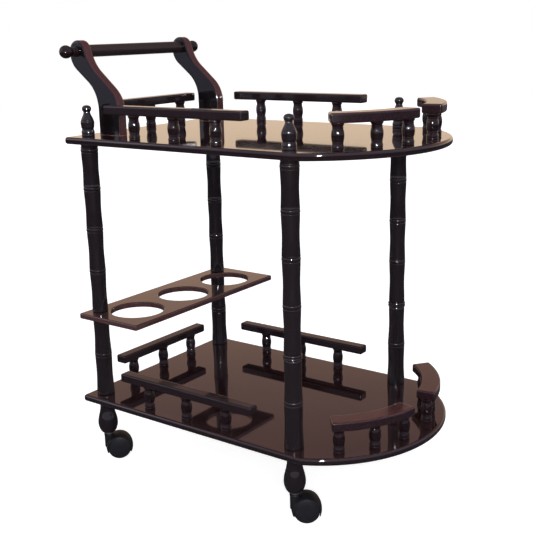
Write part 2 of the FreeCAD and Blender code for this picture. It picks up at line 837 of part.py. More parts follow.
def build():
    os.makedirs("parts", exist_ok=True)

    export("top_shelf", [shelf(top_shelf_base, True)])
    export("bottom_shelf", [shelf(bottom_shelf_base, False)])
    export("bottle_rack", [bottle_rack()])

    upper = upper_leg()
    lower = lower_leg()
    cap = finial()
    bulb = foot()
    for place, (x, y) in leg_places.items():
        export("upper_leg_" + place, [moved(upper, x, y, rack_top)])
        export("lower_leg_" + place, [moved(lower, x, y, bottom_shelf_top)])
        export("finial_" + place, [moved(cap, x, y, top_shelf_top)])
        export("foot_" + place, [moved(bulb, x, y, caster_height)])
    spacer = leg_spacer()
    for place in ("front_right", "rear_right"):
        x, y = leg_places[place]
        export("leg_spacer_" + place, [moved(spacer, x, y, rack_base)])
    export("leg_studs", leg_studs())

    for tier, board_top in (("top", top_shelf_top), ("bottom", bottom_shelf_top)):
        for name in ("end", "front", "rear", "front_curved", "rear_curved"):
            export(tier + "_rail_" + name, [rail(name, board_top)])
        export(tier + "_spindles_straight", spindle_group(board_top, False))
        export(tier + "_spindles_curved", spindle_group(board_top, True))

    export("handle_bracket_front", [handle_bracket(-1)])
    export("handle_bracket_rear", [handle_bracket(1)])
    export("handle_bar", [handle_bar()])
    export("handle_knobs", [handle_knob(-1), handle_knob(1)])
    export("handle_screws", handle_screws())

    hood = caster_hood()
    axle = caster_axle()
    stems = []
    sockets = []
    for place, (x, y) in leg_places.items():
        export("caster_hood_" + place, [at_caster(hood, place)])
        export("caster_axle_" + place, [at_caster(axle, place)])
        for side, label in ((-1, "a"), (1, "b")):
            export("caster_wheel_" + place + "_" + label, [at_caster(caster_wheel(side), place)])
        stems.append(moved(caster_stem(), x, y, 0))
        sockets.append(moved(caster_socket(), x, y, 0))
    export("caster_stems", stems)
    export("caster_sockets", sockets)


build()
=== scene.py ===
import bpy
import bmesh
import math
from mathutils import Matrix, Vector


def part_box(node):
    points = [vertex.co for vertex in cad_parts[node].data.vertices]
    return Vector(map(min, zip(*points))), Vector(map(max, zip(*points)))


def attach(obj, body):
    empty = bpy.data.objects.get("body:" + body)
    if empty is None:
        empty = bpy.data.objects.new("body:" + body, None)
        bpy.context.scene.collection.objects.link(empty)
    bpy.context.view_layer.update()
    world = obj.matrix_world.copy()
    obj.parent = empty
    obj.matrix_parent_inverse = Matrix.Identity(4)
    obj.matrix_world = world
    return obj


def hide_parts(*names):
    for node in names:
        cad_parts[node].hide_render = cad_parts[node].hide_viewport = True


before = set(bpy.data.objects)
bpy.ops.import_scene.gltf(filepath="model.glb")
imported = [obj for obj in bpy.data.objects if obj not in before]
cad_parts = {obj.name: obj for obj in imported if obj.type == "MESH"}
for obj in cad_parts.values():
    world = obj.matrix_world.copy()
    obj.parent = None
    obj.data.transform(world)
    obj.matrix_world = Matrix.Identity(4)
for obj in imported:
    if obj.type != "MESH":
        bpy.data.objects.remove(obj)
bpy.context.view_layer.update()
mm = 0.001  # pieces are given in millimetres, Blender works in metres
legPlaces = ("front_left", "front_right", "rear_left", "rear_right")
print("frame loaded:", len(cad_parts), "nodes")


# Camera

cameraSettings = {
    "place": (0.9544, -1.3028, 0.7813),  # metres
    "azimuth": 36.471,  # degrees, turned to the right of the front
    "pitch": 14.301,  # degrees, looking down
    "roll": -1.335,
    "sensor": 36.0,
    "lens": 63.118,
}


def placeCamera(s):
    azimuth, pitch, roll = (math.radians(s[key]) for key in ("azimuth", "pitch", "roll"))
    level = math.cos(pitch)
    back = Vector((math.sin(azimuth) * level, -math.cos(azimuth) * level, math.sin(pitch)))
    right = Vector((math.cos(azimuth), math.sin(azimuth), 0))
    up = back.cross(right)
    tiltedRight = right * math.cos(roll) + up * math.sin(roll)
    tiltedUp = up * math.cos(roll) - right * math.sin(roll)
    data = bpy.data.cameras.new("studioCamera")
    data.sensor_width = s["sensor"]
    data.lens = s["lens"]
    camera = bpy.data.objects.new("studioCamera", data)
    turn = Matrix((tiltedRight, tiltedUp, back)).transposed().to_4x4()
    camera.matrix_world = Matrix.Translation(s["place"]) @ turn
    bpy.context.scene.collection.objects.link(camera)
    bpy.context.scene.camera = camera


placeCamera(cameraSettings)
print("camera placed")


# Node helpers

def addNode(tree, kind, inputs=None, **options):
    node = tree.nodes.new("ShaderNode" + kind)
    for option, value in options.items():
        setattr(node, option, value)
    for socket, value in (inputs or {}).items():
        if isinstance(value, bpy.types.NodeSocket):
            tree.links.new(value, node.inputs[socket])
        else:
            node.inputs[socket].default_value = value
    return node


def mathOf(tree, operation, first, second=0.0, clamp=False):
    return addNode(tree, "Math", {0: first, 1: second}, operation=operation, use_clamp=clamp).outputs[0]


def plus(tree, first, second, clamp=False):
    return mathOf(tree, "ADD", first, second, clamp)


def times(tree, first, second, clamp=False):
    return mathOf(tree, "MULTIPLY", first, second, clamp)


def dotOf(tree, first, second):
    return addNode(tree, "VectorMath", {0: first, 1: second}, operation="DOT_PRODUCT").outputs["Value"]


def grayOf(tree, value):
    return addNode(tree, "CombineColor", {0: value, 1: value, 2: value}).outputs[0]


def spread(tree, value, low, high, newLow=0.0, newHigh=1.0, ease="LINEAR"):
    inputs = {"Value": value, "From Min": low, "From Max": high, "To Min": newLow, "To Max": newHigh}
    return addNode(tree, "MapRange", inputs, interpolation_type=ease).outputs["Result"]


def blendColor(tree, share, first, second, kind="MIX"):
    node = addNode(tree, "Mix", data_type="RGBA", blend_type=kind)
    for index, value in ((0, share), (6, first), (7, second)):
        if isinstance(value, bpy.types.NodeSocket):
            tree.links.new(value, node.inputs[index])
        else:
            node.inputs[index].default_value = value
    return node.outputs[2]


def noise(tree, vector, scale, detail=3.0, roughness=0.55, distortion=0.0):
    inputs = {
        "Vector": vector, "Scale": scale, "Detail": detail, "Roughness": roughness,
        "Distortion": distortion,
    }
    return addNode(tree, "TexNoise", inputs).outputs["Fac"]


def newGroup(name, inputs, outputs):
    tree = bpy.data.node_groups.new(name, "ShaderNodeTree")
    for label, kind, value in inputs:
        socket = tree.interface.new_socket(name=label, in_out="INPUT", socket_type="NodeSocket" + kind)
        if value is not None:
            socket.default_value = value
    for label, kind in outputs:
        tree.interface.new_socket(name=label, in_out="OUTPUT", socket_type="NodeSocket" + kind)
    return tree, tree.nodes.new("NodeGroupInput").outputs, tree.nodes.new("NodeGroupOutput").inputs


def useGroup(tree, group, inputs):
    node = tree.nodes.new("ShaderNodeGroup")
    node.node_tree = group
    for socket, value in inputs.items():
        if isinstance(value, bpy.types.NodeSocket):
            tree.links.new(value, node.inputs[socket])
        else:
            node.inputs[socket].default_value = value
    return node.outputs


def newMaterial(name):
    material = bpy.data.materials.new(name)
    material.use_nodes = True
    tree = material.node_tree
    tree.nodes.clear()
    shader = addNode(tree, "BsdfPrincipled")
    addNode(tree, "OutputMaterial", {"Surface": shader.outputs["BSDF"]})
    return material, tree, shader


# Shared effects, as node groups

def makeCherryGrain():
    # long cherry fibres with broad figure and short dark pores; Stretch runs the fibres along one axis
    tree, given, made = newGroup("cherryGrain", [
        ("Vector", "Vector", None), ("Stretch", "Vector", (1.0, 1.0, 1.0)),
        ("Dark", "Color", None), ("Light", "Color", None), ("Figure", "Float", 0.5),
    ], [("Color", "Color"), ("Fibre", "Float"), ("Pores", "Float")])
    stretched = addNode(tree, "VectorMath", {0: given["Vector"], 1: given["Stretch"]}, operation="MULTIPLY")
    along = stretched.outputs[0]
    broad = noise(tree, along, 0.55, 3.0, 0.5, 0.7)
    bands = mathOf(tree, "SINE", times(tree, broad, 34.0))
    figure = spread(tree, bands, -1.0, 1.0)
    fibre = noise(tree, along, 5.0, 8.0, 0.68)
    poreField = noise(tree, along, 17.0, 2.0, 0.4)
    pores = spread(tree, poreField, 0.66, 0.74, ease="SMOOTHSTEP")
    figured = times(tree, figure, given["Figure"])
    plain = mathOf(tree, "SUBTRACT", 1.0, given["Figure"])
    tone = plus(tree, figured, times(tree, spread(tree, fibre, 0.32, 0.7), plain))
    color = blendColor(tree, tone, given["Dark"], given["Light"])
    pored = blendColor(tree, times(tree, pores, 0.6), color, (0.004, 0.002, 0.002, 1))
    tree.links.new(pored, made["Color"])
    tree.links.new(fibre, made["Fibre"])
    tree.links.new(pores, made["Pores"])
    return tree


def makeEdgeRub():
    # 1 along rounded edges, broken up by Breakup: partly handled wear, partly a painted highlight where
    # light catches the rounding
    tree, given, made = newGroup("edgeRubAndSheen", [
        ("Vector", "Vector", None), ("Breakup", "Float", 90.0),
        ("Width", "Float", 0.002), ("Reach", "Float", 3.0),
    ], [("Mask", "Float")])
    eased = addNode(tree, "Bevel", {"Radius": given["Width"]}, samples=4).outputs["Normal"]
    facing = addNode(tree, "NewGeometry").outputs["Normal"]
    turned = dotOf(tree, eased, facing)
    bend = times(tree, mathOf(tree, "SUBTRACT", 1.0, turned), given["Reach"], clamp=True)
    patches = spread(tree, noise(tree, given["Vector"], given["Breakup"], 3.0), 0.35, 0.65, 0.35, 1.0)
    tree.links.new(times(tree, bend, patches, clamp=True), made["Mask"])
    return tree


def makeHandling():
    # smudges, hairline scratches and dust lying on what faces up
    tree, given, made = newGroup("handling", [("Vector", "Vector", None), ("Scale", "Float", 1.0)], [
        ("Smudge", "Float"), ("Scratches", "Float"), ("Dust", "Float"),
    ])
    scaled = addNode(tree, "VectorMath", {0: given["Vector"], "Scale": given["Scale"]}, operation="SCALE")
    sized = scaled.outputs[0]
    tree.links.new(spread(tree, noise(tree, sized, 11.0, 4.0, 0.6, 0.4), 0.38, 0.68), made["Smudge"])
    lines = []
    for angle, squeeze in ((0.5, 14.0), (2.1, 11.0)):
        laid = {"Vector": sized, "Rotation": (0.2, 0.1, angle), "Scale": (squeeze, 1.3, 1.3)}
        place = addNode(tree, "Mapping", laid).outputs[0]
        cells = addNode(tree, "TexVoronoi", {"Vector": place, "Scale": 7.0}, feature="DISTANCE_TO_EDGE")
        lines.append(spread(tree, cells.outputs["Distance"], 0.0, 0.012, 1.0, 0.0))
    broken = spread(tree, noise(tree, sized, 24.0, 2.0), 0.56, 0.66)
    scratch = times(tree, mathOf(tree, "MAXIMUM", lines[0], lines[1]), broken)
    tree.links.new(scratch, made["Scratches"])
    specks = spread(tree, noise(tree, sized, 900.0, 1.0), 0.74, 0.8)
    upward = addNode(tree, "SeparateXYZ", {0: addNode(tree, "NewGeometry").outputs["Normal"]}).outputs["Z"]
    lying = spread(tree, upward, 0.6, 0.95)
    tree.links.new(times(tree, specks, lying), made["Dust"])
    return tree


def makeLacquerSkin():
    # faint waviness of sprayed lacquer with a few nibs
    tree, given, made = newGroup("lacquerSkin", [
        ("Vector", "Vector", None), ("Wave", "Float", 60.0),
    ], [("Height", "Float")])
    slow = noise(tree, given["Vector"], given["Wave"], 2.0, 0.4)
    peel = noise(tree, given["Vector"], times(tree, given["Wave"], 9.0), 1.0, 0.4)
    nibField = noise(tree, given["Vector"], times(tree, given["Wave"], 22.0), 0.0)
    nibs = spread(tree, nibField, 0.78, 0.86)
    both = plus(tree, slow, times(tree, peel, 0.12))
    tree.links.new(plus(tree, both, times(tree, nibs, 0.05)), made["Height"])
    return tree


cherryGrain = makeCherryGrain()
edgeRubAndSheen = makeEdgeRub()
handling = makeHandling()
lacquerSkin = makeLacquerSkin()
print("shared effects made")


# Lacquered wood

# flat is the direction that the broad faces look in, and sawn is the tone of the narrow faces; a piece
# without broad faces has no flat and takes that tone all over, with its grain showing through
lacquerSettings = {
    "boardLacquer": {  # shelves: fibres along the cart
        "dark": (0.0155, 0.0065, 0.0068, 1), "light": (0.039, 0.0165, 0.0155, 1),
        "rubbedEdgeSheen": (0.16, 0.045, 0.035, 1), "sawn": (0.0120, 0.0072, 0.0080, 1), "flat": (0, 0, 1),
        "stretch": (3.0, 75.0, 75.0), "figure": 0.22, "roughness": 0.05, "coat": 1.0, "rub": 0.6,
        "skin": 0.006,
    },
    "rackLacquer": {  # the rack's board is cut across, fibres along Y
        "dark": (0.026, 0.010, 0.009, 1), "light": (0.066, 0.027, 0.020, 1),
        "rubbedEdgeSheen": (0.26, 0.08, 0.05, 1), "sawn": (0.085, 0.038, 0.035, 1), "flat": (0, 0, 1),
        "stretch": (75.0, 3.0, 75.0), "figure": 0.25, "roughness": 0.08, "coat": 1.0, "rub": 0.5,
        "skin": 0.03,
    },
    "turningLacquer": {  # legs and feet: fibres upright
        "dark": (0.0088, 0.0086, 0.0118, 1), "light": (0.0150, 0.0128, 0.0160, 1),
        "rubbedEdgeSheen": (0.07, 0.028, 0.026, 1), "sawn": (0.0150, 0.0100, 0.0110, 1), "flat": (0, 0, 0),
        "stretch": (85.0, 85.0, 4.0), "figure": 0.3, "roughness": 0.12, "coat": 0.8, "rub": 0.4,
        "skin": 0.03,
    },
    "spindleLacquer": {  # small turnings took more stain colour
        "dark": (0.0075, 0.0048, 0.0062, 1), "light": (0.0190, 0.0100, 0.0120, 1),
        "rubbedEdgeSheen": (0.10, 0.03, 0.03, 1), "sawn": (0.0130, 0.0058, 0.0066, 1), "flat": (0, 0, 0),
        "stretch": (85.0, 85.0, 6.0), "figure": 0.3, "roughness": 0.05, "coat": 0.5, "rub": 0.5,
        "skin": 0.02,
    },
    "sideRailLacquer": {
        "dark": (0.0110, 0.0082, 0.0105, 1), "light": (0.0240, 0.0145, 0.0165, 1),
        "rubbedEdgeSheen": (0.10, 0.034, 0.028, 1), "sawn": (0.0180, 0.0100, 0.0110, 1), "flat": (0, 0, 0),
        "stretch": (3.5, 80.0, 80.0), "figure": 0.25, "roughness": 0.20, "coat": 0.55, "rub": 0.4,
        "skin": 0.03,
    },
    "curvedRailLacquer": {  # bent rails show more red on top
        "dark": (0.0400, 0.0120, 0.0130, 1), "light": (0.0980, 0.0320, 0.0300, 1),
        "rubbedEdgeSheen": (0.12, 0.034, 0.028, 1), "sawn": (0.0150, 0.0095, 0.0115, 1), "flat": (0, 0, 1),
        "stretch": (60.0, 6.0, 80.0), "figure": 0.3, "roughness": 0.20, "coat": 0.65, "rub": 0.3,
        "skin": 0.03,
    },
    "crossRailLacquer": {  # end rails: fibres along Y
        "dark": (0.0090, 0.0060, 0.0064, 1), "light": (0.0250, 0.0130, 0.0130, 1),
        "rubbedEdgeSheen": (0.10, 0.034, 0.028, 1), "sawn": (0.0180, 0.0100, 0.0110, 1), "flat": (0, 0, 0),
        "stretch": (80.0, 3.5, 80.0), "figure": 0.25, "roughness": 0.22, "coat": 0.45, "rub": 0.4,
        "skin": 0.03,
    },
    "barLacquer": {  # the push bar is browner and duller from hands
        "dark": (0.0200, 0.0145, 0.0155, 1), "light": (0.0440, 0.0280, 0.0270, 1),
        "rubbedEdgeSheen": (0.10, 0.034, 0.028, 1), "sawn": (0.0300, 0.0180, 0.0170, 1), "flat": (0, 0, 0),
        "stretch": (80.0, 3.5, 80.0), "figure": 0.35, "roughness": 0.36, "coat": 0.3, "rub": 0.4,
        "skin": 0.03,
    },
    "bracketLacquer": {  # brackets are sawn from boards that stand on end; their bright red narrow faces and edges are partly a painted highlight
        "dark": (0.0095, 0.0068, 0.0085, 1), "light": (0.0240, 0.0135, 0.0150, 1),
        "rubbedEdgeSheen": (0.46, 0.17, 0.13, 1), "sawn": (0.080, 0.021, 0.020, 1), "flat": (0, 1, 0),
        "stretch": (60.0, 80.0, 3.5), "figure": 0.4, "roughness": 0.22, "coat": 0.6, "rub": 1.0,
        "skin": 0.03,
    },
}
lacquerDetail = {
    "rubSheenBreakup": 70.0, "rubSheenWidth": 0.0025, "rubSheenReach": 2.5,  # where edges are rubbed through, and a painted highlight along the rounded edges
    "wave": 60.0, "bump": 0.004, "porePull": 0.02, "fibrePull": 0.02,
    "smudge": 0.03, "scratch": 0.08, "dulledCoat": 0.85,
    "dust": (0.30, 0.28, 0.26, 1), "dustShare": 0.25,
    "under": 0.75, "paintedShadeColor": (0.004, 0.0034, 0.0040, 1),  # painted shade: faces looking against flat, the undersides of boards and rails, are darkened
}


def makeLacquer(name, s, detail):
    material, tree, shader = newMaterial(name)
    spots = addNode(tree, "TexCoord").outputs
    place = spots["Object"]
    grain = useGroup(tree, cherryGrain, {
        "Vector": place, "Stretch": s["stretch"], "Figure": s["figure"], "Dark": s["dark"],
        "Light": s["light"],
    })
    rub = useGroup(tree, edgeRubAndSheen, {
        "Vector": place, "Breakup": detail["rubSheenBreakup"], "Width": detail["rubSheenWidth"],
        "Reach": detail["rubSheenReach"],
    })
    handled = useGroup(tree, handling, {"Vector": place, "Scale": 1.0})
    skin = useGroup(tree, lacquerSkin, {"Vector": place, "Wave": detail["wave"]})
    facing = dotOf(tree, spots["Normal"], s["flat"])
    narrow = spread(tree, mathOf(tree, "ABSOLUTE", facing), 0.30, 0.85, 1.0, 0.0, "SMOOTHSTEP")
    # narrow faces take their own tone; on the brackets this tone is partly a painted highlight
    sawn = times(tree, narrow, spread(tree, grain["Fibre"], 0.3, 0.6, 0.55, 1.0))
    color = blendColor(tree, sawn, grain["Color"], s["sawn"])
    # painted shade on the faces that look against flat
    under = spread(tree, facing, -0.9, -0.5, detail["under"], 0.0)
    color = blendColor(tree, under, color, detail["paintedShadeColor"])
    # rounded edges lighter and redder: partly wear, partly a painted highlight
    thin = times(tree, rub["Mask"], s["rub"])
    color = blendColor(tree, thin, color, s["rubbedEdgeSheen"])
    dusty = times(tree, handled["Dust"], detail["dustShare"])
    tree.links.new(blendColor(tree, dusty, color, detail["dust"]), shader.inputs["Base Color"])
    smudged = times(tree, handled["Smudge"], detail["smudge"])
    scratched = times(tree, handled["Scratches"], detail["scratch"])
    rough = plus(tree, plus(tree, smudged, s["roughness"]), scratched)
    tree.links.new(rough, shader.inputs["Roughness"])
    dulled = plus(tree, handled["Scratches"], dusty)
    coat = spread(tree, dulled, 0.0, 1.0, s["coat"], s["coat"] * detail["dulledCoat"])
    tree.links.new(coat, shader.inputs["Coat Weight"])
    shader.inputs["Coat Roughness"].default_value = 0.03
    shader.inputs["Coat IOR"].default_value = 1.5
    shader.inputs["Specular IOR Level"].default_value = 0.15
    raised = times(tree, grain["Fibre"], detail["fibrePull"])
    sunk = times(tree, grain["Pores"], detail["porePull"])
    height = mathOf(tree, "SUBTRACT", plus(tree, skin["Height"], raised), sunk)
    bump = addNode(tree, "Bump", {"Height": height, "Strength": s["skin"], "Distance": detail["bump"]})
    tree.links.new(bump.outputs[0], shader.inputs["Normal"])
    return material


lacquer = {name: makeLacquer(name, s, lacquerDetail) for name, s in lacquerSettings.items()}
print("lacquers mixed:", ", ".join(lacquer))


# Moulded plastic of the casters

plasticSettings = {
    "hoodPlastic": {
        "color": (0.0140, 0.0134, 0.0164, 1), "scuffed": (0.032, 0.031, 0.033, 1), "roughness": 0.42,
        "texture": 0.1,
    },
    "wheelPlastic": {
        "color": (0.0125, 0.0118, 0.0150, 1), "scuffed": (0.045, 0.043, 0.044, 1), "roughness": 0.48,
        "texture": 0.08,
    },
}


def makePlastic(name, s):
    material, tree, shader = newMaterial(name)
    place = addNode(tree, "TexCoord").outputs["Object"]
    rub = useGroup(tree, edgeRubAndSheen, {"Vector": place, "Breakup": 160.0, "Width": 0.0012, "Reach": 2.0})
    handled = useGroup(tree, handling, {"Vector": place, "Scale": 2.2})
    mottled = noise(tree, place, 140.0, 4.0)
    # lighter rounded edges: partly scuffing, partly a painted highlight
    rubbedEdgeSheen = times(tree, rub["Mask"], 0.5)
    worn = mathOf(tree, "MAXIMUM", rubbedEdgeSheen, times(tree, handled["Scratches"], 0.7))
    worn = plus(tree, worn, times(tree, handled["Dust"], 0.4), clamp=True)
    tree.links.new(blendColor(tree, worn, s["color"], s["scuffed"]), shader.inputs["Base Color"])
    rough = plus(tree, spread(tree, mottled, 0.3, 0.7, -0.05, 0.06), s["roughness"])
    tree.links.new(plus(tree, rough, times(tree, worn, 0.15)), shader.inputs["Roughness"])
    shader.inputs["Specular IOR Level"].default_value = 0.14
    stipple = noise(tree, place, 1500.0, 1.0)
    bump = addNode(tree, "Bump", {"Height": stipple, "Strength": s["texture"], "Distance": 0.0004})
    tree.links.new(bump.outputs[0], shader.inputs["Normal"])
    return material


plastic = {name: makePlastic(name, s) for name, s in plasticSettings.items()}


# Steel of studs, stems, axles, screws and sockets

steelSettings = {
    "brightSteel": {
        "light": (0.50, 0.49, 0.47, 1), "dull": (0.24, 0.23, 0.22, 1), "roughness": 0.26,
        "rings": 900.0,
    },
    "platedSteel": {
        "light": (0.42, 0.40, 0.34, 1), "dull": (0.20, 0.19, 0.17, 1), "roughness": 0.34,
        "rings": 500.0,
    },
}


def makeSteel(name, s):
    material, tree, shader = newMaterial(name)
    place = addNode(tree, "TexCoord").outputs["Object"]
    ringed = addNode(tree, "Mapping", {"Vector": place, "Scale": (4.0, 4.0, s["rings"])}).outputs[0]
    toolMarks = noise(tree, ringed, 1.0, 3.0)
    tarnish = spread(tree, noise(tree, place, 180.0, 4.0), 0.42, 0.7)
    tree.links.new(blendColor(tree, tarnish, s["light"], s["dull"]), shader.inputs["Base Color"])
    shader.inputs["Metallic"].default_value = 1.0
    rough = plus(tree, spread(tree, toolMarks, 0.3, 0.7, -0.06, 0.08), s["roughness"])
    tree.links.new(plus(tree, rough, times(tree, tarnish, 0.15)), shader.inputs["Roughness"])
    bump = addNode(tree, "Bump", {"Height": toolMarks, "Strength": 0.1, "Distance": 0.0002})
    tree.links.new(bump.outputs[0], shader.inputs["Normal"])
    return material


steel = {name: makeSteel(name, s) for name, s in steelSettings.items()}
print("plastics and steels mixed")


# Mesh helpers

def newPiece(name, mesh, material, body, nodes, sharpest=40.0):
    mesh.materials.append(material)
    for face in mesh.polygons:
        face.use_smooth = True
    mesh.set_sharp_from_angle(angle=math.radians(sharpest))
    piece = bpy.data.objects.new(name, mesh)
    bpy.context.scene.collection.objects.link(piece)
    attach(piece, body)
    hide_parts(*nodes)
    return piece


def smoothLine(rows, steps):
    # rows are (radius, height, crisp); the line bends softly through every row that isn't crisp
    points = [Vector((radius, height)) for radius, height, crisp in rows]
    last = len(points) - 1

    def slope(index, chord):
        if index in (0, last) or rows[index][2]:
            return chord
        before = points[index] - points[index - 1]
        after = points[index + 1] - points[index]
        run = before.normalized() * after.length + after.normalized() * before.length
        return run / (before.length + after.length) * chord.length

    line = []
    for index in range(last):
        start, end = points[index], points[index + 1]
        chord = end - start
        leave, arrive = slope(index, chord), slope(index + 1, chord)
        for step in range(steps):
            t = step / steps
            spot = start * (2 * t ** 3 - 3 * t ** 2 + 1) + leave * (t ** 3 - 2 * t ** 2 + t)
            spot += end * (3 * t ** 2 - 2 * t ** 3) + arrive * (t ** 3 - t ** 2)
            line.append(spot)
    line.append(points[-1])
    return line


def turnedMesh(name, line, places, segments):
    # a closed turned solid for each place; the line runs from the low end to the high end
    mesh = bmesh.new()
    angles = [math.tau * step / segments for step in range(segments)]
    rim = [(math.cos(angle), math.sin(angle)) for angle in angles]
    for place in places:
        foot = mesh.verts.new(place @ Vector((0, 0, line[0][1])))
        rings = []
        for radius, height in line:
            rings.append([mesh.verts.new(place @ Vector((radius * x, radius * y, height))) for x, y in rim])
        head = mesh.verts.new(place @ Vector((0, 0, line[-1][1])))
        for step in range(segments):
            after = (step + 1) % segments
            mesh.faces.new((foot, rings[0][after], rings[0][step]))
            for low, high in zip(rings, rings[1:]):
                mesh.faces.new((low[step], low[after], high[after], high[step]))
            mesh.faces.new((head, rings[-1][step], rings[-1][after]))
    data = bpy.data.meshes.new(name)
    mesh.to_mesh(data)
    mesh.free()
    return data


def middleOf(node):
    low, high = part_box(node)
    return (low + high) / 2


def solidMiddles(node):
    # middle of each separate solid that a CAD node holds
    mesh = bmesh.new()
    mesh.from_mesh(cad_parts[node].data)
    bmesh.ops.remove_doubles(mesh, verts=mesh.verts, dist=0.01 * mm)
    left = set(mesh.verts)
    middles = []
    while left:
        reached = [left.pop()]
        spots = []
        while reached:
            vert = reached.pop()
            spots.append(vert.co.copy())
            for edge in vert.link_edges:
                other = edge.other_vert(vert)
                if other in left:
                    left.remove(other)
                    reached.append(other)
        low = Vector([min(spot[axis] for spot in spots) for axis in range(3)])
        high = Vector([max(spot[axis] for spot in spots) for axis in range(3)])
        middles.append((low + high) / 2)
    mesh.free()
    return sorted(middles, key=lambda middle: tuple(round(value, 5) for value in middle))


def camelName(prefix, label):
    return prefix + "".join(word.capitalize() for word in label.split("_"))


# Legs, turned like bamboo

legSettings = {
    "topRadius": 15.0, "jointRadius": 14.2, "baseRadius": 16.2,
    "waist": 1.0,  # how much a leg thins between its rings
    "upperRings": (0.251, 0.497, 0.739), "topRingDrop": 12.0, "lowerRings": (0.52,),
    "footLine": 2.2,  # first groove above the board
    "spanSteps": 16, "segments": 56,
}
# which radius each part has at its low and at its high end
legParts = (("upper", "jointRadius", "topRadius"), ("lower", "baseRadius", "jointRadius"))
# a ring pair: two fine grooves with a bead between them, as (along the leg, out from it)
ringShape = (
    (-5.4, 0.0), (-4.6, 0.16), (-4.0, 0.1), (-3.6, -0.25), (-3.2, -0.75), (-2.8, -0.25), (-2.3, 0.12),
    (-1.2, 0.3), (0.0, 0.36), (1.2, 0.3), (2.3, 0.12), (2.8, -0.25), (3.2, -0.75), (3.6, -0.25),
    (4.0, 0.1), (4.6, 0.16), (5.4, 0.0),
)


def bambooLine(length, lowRadius, highRadius, rings, s):
    def straight(height):
        return lowRadius + (highRadius - lowRadius) * height / length

    edge = s["footLine"]
    line = [(lowRadius - 0.9, 0.0), (lowRadius - 0.3, 0.5)]
    line += [(lowRadius, edge * 0.6), (lowRadius + 0.05, edge)]
    knots = [0.0] + list(rings) + [length]
    for low, high in zip(knots, knots[1:]):
        for step in range(1, s["spanSteps"]):
            height = low + (high - low) * step / s["spanSteps"]
            clearOfRings = all(abs(height - ring) > -ringShape[0][0] + 0.4 for ring in rings)
            if clearOfRings and edge + 0.5 < height < length - 1.0:
                thin = s["waist"] * math.sin(math.pi * (height - low) / (high - low)) ** 2
                line.append((straight(height) - thin, height))
        if high in rings:
            line.extend((straight(high) + out, high + along) for along, out in ringShape)
    line += [(highRadius, length - 0.8), (highRadius - 0.5, length)]
    return [(radius * mm, height * mm) for radius, height in line]


def makeLegs(s):
    for label in legPlaces:
        for part, low, high in legParts:
            node = part + "_leg_" + label
            floor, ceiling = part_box(node)
            length = (ceiling.z - floor.z) / mm
            rings = [length * share for share in s[part + "Rings"]]
            if part == "upper":
                rings.append(length - s["topRingDrop"])
            line = bambooLine(length, s[low], s[high], rings, s)
            middle = middleOf(node)
            name = camelName(part + "Leg", label)
            mesh = turnedMesh(name, line, [Matrix.Translation((middle.x, middle.y, floor.z))], s["segments"])
            newPiece(name, mesh, lacquer["turningLacquer"], "cart", [node], 55.0)


makeLegs(legSettings)
print("legs turned")


# Collars, finials and feet
# rows are shares of the radius and of the height, and whether the line turns crisply there

collarSettings = {
    "node": "leg_spacer_", "name": "legCollar", "places": ("front_right", "rear_right"), "radius": 15.6,
    "steps": 4,
    "rows": (
        (0.84, 0.0, True), (0.93, 0.06, False), (0.985, 0.18, False), (1.0, 0.32, False),
        (0.965, 0.42, True), (0.965, 0.58, True), (1.0, 0.68, False), (0.985, 0.82, False),
        (0.93, 0.94, False), (0.84, 1.0, True),
    ),
}
finialSettings = {
    "node": "finial_", "name": "finial", "places": legPlaces, "radius": 11.6, "steps": 5,
    "rows": (
        (0.94, 0.0, True), (0.985, 0.02, False), (0.99, 0.055, True), (0.94, 0.07, True),
        (0.95, 0.085, True), (0.985, 0.10, False), (0.975, 0.15, False), (0.94, 0.19, True),
        (0.88, 0.205, False), (0.87, 0.235, False), (0.91, 0.255, True), (0.945, 0.275, False),
        (0.99, 0.35, False), (1.025, 0.43, False), (1.01, 0.485, False), (0.965, 0.515, True),
        (0.925, 0.522, True), (0.925, 0.54, True), (0.82, 0.595, False), (0.69, 0.65, False),
        (0.58, 0.705, False), (0.515, 0.75, False), (0.50, 0.78, False), (0.55, 0.80, True),
        (0.63, 0.828, False), (0.69, 0.862, False), (0.705, 0.893, False), (0.665, 0.93, False),
        (0.54, 0.965, False), (0.34, 0.988, False), (0.15, 0.998, False), (0.02, 1.0, True),
    ),
}
footSettings = {
    "node": "foot_", "name": "foot", "places": legPlaces, "radius": 18.2, "steps": 5,
    "rows": (
        (0.50, 0.0, True), (0.58, 0.01, False), (0.68, 0.03, True), (0.665, 0.04, True),
        (0.78, 0.07, False), (0.895, 0.14, False), (0.97, 0.21, False), (1.0, 0.29, False),
        (0.985, 0.37, False), (0.93, 0.46, False), (0.85, 0.55, False), (0.77, 0.635, False),
        (0.71, 0.72, False), (0.685, 0.79, False), (0.69, 0.85, False), (0.715, 0.90, True),
        (0.69, 0.91, True), (0.70, 0.93, True), (0.735, 0.95, False), (0.735, 0.985, False),
        (0.70, 1.0, True),
    ),
}


def makeTurnings(s, segments=48):
    for label in s["places"]:
        node = s["node"] + label
        floor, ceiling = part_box(node)
        height = ceiling.z - floor.z
        rows = [(radius * s["radius"] * mm, share * height, crisp) for radius, share, crisp in s["rows"]]
        name = camelName(s["name"], label)
        middle = middleOf(node)
        line = smoothLine(rows, s["steps"])
        mesh = turnedMesh(name, line, [Matrix.Translation((middle.x, middle.y, floor.z))], segments)
        newPiece(name, mesh, lacquer["turningLacquer"], "cart", [node], 50.0)


for settings in (collarSettings, finialSettings, footSettings):
    makeTurnings(settings)
print("collars, finials and feet turned")


# Gallery spindles

